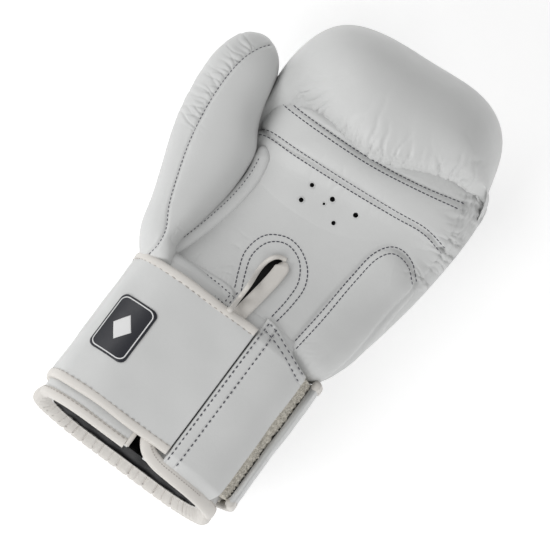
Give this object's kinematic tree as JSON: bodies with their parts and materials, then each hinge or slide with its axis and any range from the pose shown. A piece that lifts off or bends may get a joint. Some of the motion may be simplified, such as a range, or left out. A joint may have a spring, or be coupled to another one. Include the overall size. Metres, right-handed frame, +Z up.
{
  "type": "boxing glove",
  "caption": "Padded leather boxing glove for the left hand, with a curled finger pad, an attached thumb and a hook-and-loop wrist strap.",
  "frame": {"origin": "centre of the footprint of the glove lying on its back, on the ground", "axes": "+Z up out of the palm, +Y from the wrist opening to the knuckles, +X from the thumb to the little finger"},
  "size_m": [0.1932, 0.3145, 0.1381],
  "materials": {
    "leather": "light grey leather with a fine grain",
    "knuckle_leather": "light grey leather, smooth over the knuckles",
    "strap_leather": "light grey leather",
    "binding": "warm off-white edge binding",
    "webbing": "woven backing",
    "lining": "black satin-like lining",
    "foam": "moulded foam padding",
    "loop_tape": "off-white looped pile",
    "hook_tape": "off-white hook tape",
    "label": "dark patch with a pale border and a plain stripe motif"
  },
  "bodies": {
    "hand": {"hand_palm_leather": "leather", "hand_back_leather": "leather", "hand_palm_pad": "foam", "hand_back_pad": "foam", "hand_lining": "lining", "slit_binding_palm": "binding", "heel_pad_foam": "foam", "heel_pad_cover": "leather", "thumb_gusset": "leather", "cuff_leather": "leather", "cuff_foam": "foam", "cuff_lining": "lining", "slit_binding_thumb_side": "binding", "slit_binding_finger_side": "binding", "rim_binding": "binding", "rim_gather": "leather", "cuff_side_panel": "leather", "cuff_seam_band": "leather", "strap_anchor": "strap_leather", "strap_anchor_filler": "webbing", "loop_panel": "loop_tape"},
    "fingers": {"finger_back_leather": "knuckle_leather", "fingertip_leather": "knuckle_leather", "finger_pad": "foam", "finger_lining": "lining", "grip_bar": "foam", "grip_band": "leather"},
    "thumb": {"thumb_outer_leather": "leather", "thumb_inner_leather": "leather", "thumb_pad": "foam", "thumb_lining": "lining"},
    "strap_1": {"strap_web_1": "strap_leather", "strap_edge_hand_1": "binding", "strap_edge_wrist_1": "binding", "label_patch": "label"},
    "strap_2": {"strap_web_2": "strap_leather", "strap_edge_hand_2": "binding", "strap_edge_wrist_2": "binding"},
    "strap_3": {"strap_web_3": "strap_leather", "strap_edge_hand_3": "binding", "strap_edge_wrist_3": "binding"},
    "strap_4": {"strap_web_4": "strap_leather", "strap_edge_hand_4": "binding", "strap_edge_wrist_4": "binding"},
    "strap_5": {"strap_web_5": "strap_leather", "strap_edge_hand_5": "binding", "strap_edge_wrist_5": "binding", "hook_patch": "hook_tape"}
  },
  "joints": [
    {"name": "knuckle_flex", "type": "hinge", "parent": "hand", "child": "fingers", "pos_m": [0.02069, 0.05181, 0.01], "axis": [1, 0, 0], "range_deg": [-12, 6], "stiffness_Nm_per_rad": 8},
    {"name": "thumb_flex", "type": "hinge", "parent": "hand", "child": "thumb", "pos_m": [-0.04931, -0.01819, 0.07], "axis": [0, 0, 1], "range_deg": [0, 5], "stiffness_Nm_per_rad": 1.5},
    {"name": "strap_lift", "type": "hinge", "parent": "hand", "child": "strap_1", "pos_m": [0.01025, -0.08823, 0.09722], "axis": [0.0984, 0.9948, 0.0262], "range_deg": [0, 40]},
    {"name": "strap_bend_1", "type": "hinge", "parent": "strap_1", "child": "strap_2", "pos_m": [-0.06946, -0.07994, 0.08201], "axis": [0.0984, 0.9948, 0.0262], "range_deg": [0, 50]},
    {"name": "strap_bend_2", "type": "hinge", "parent": "strap_2", "child": "strap_3", "pos_m": [-0.07781, -0.07784, 0.03362], "axis": [0.0984, 0.9948, 0.0262], "range_deg": [0, 50]},
    {"name": "strap_bend_3", "type": "hinge", "parent": "strap_3", "child": "strap_4", "pos_m": [-0.05128, -0.0797, 0.00462], "axis": [0.0984, 0.9948, 0.0262], "range_deg": [0, 50]},
    {"name": "strap_bend_4", "type": "hinge", "parent": "strap_4", "child": "strap_5", "pos_m": [0.04026, -0.0889, 0.00976], "axis": [0.0984, 0.9948, 0.0262], "range_deg": [0, 50]}
  ],
  "couplings": [
    {"joint": "strap_bend_1", "follows": "strap_lift", "ratio": 1.25},
    {"joint": "strap_bend_2", "follows": "strap_lift", "ratio": 1.25},
    {"joint": "strap_bend_3", "follows": "strap_lift", "ratio": 1.25},
    {"joint": "strap_bend_4", "follows": "strap_lift", "ratio": 1.25}
  ]
}
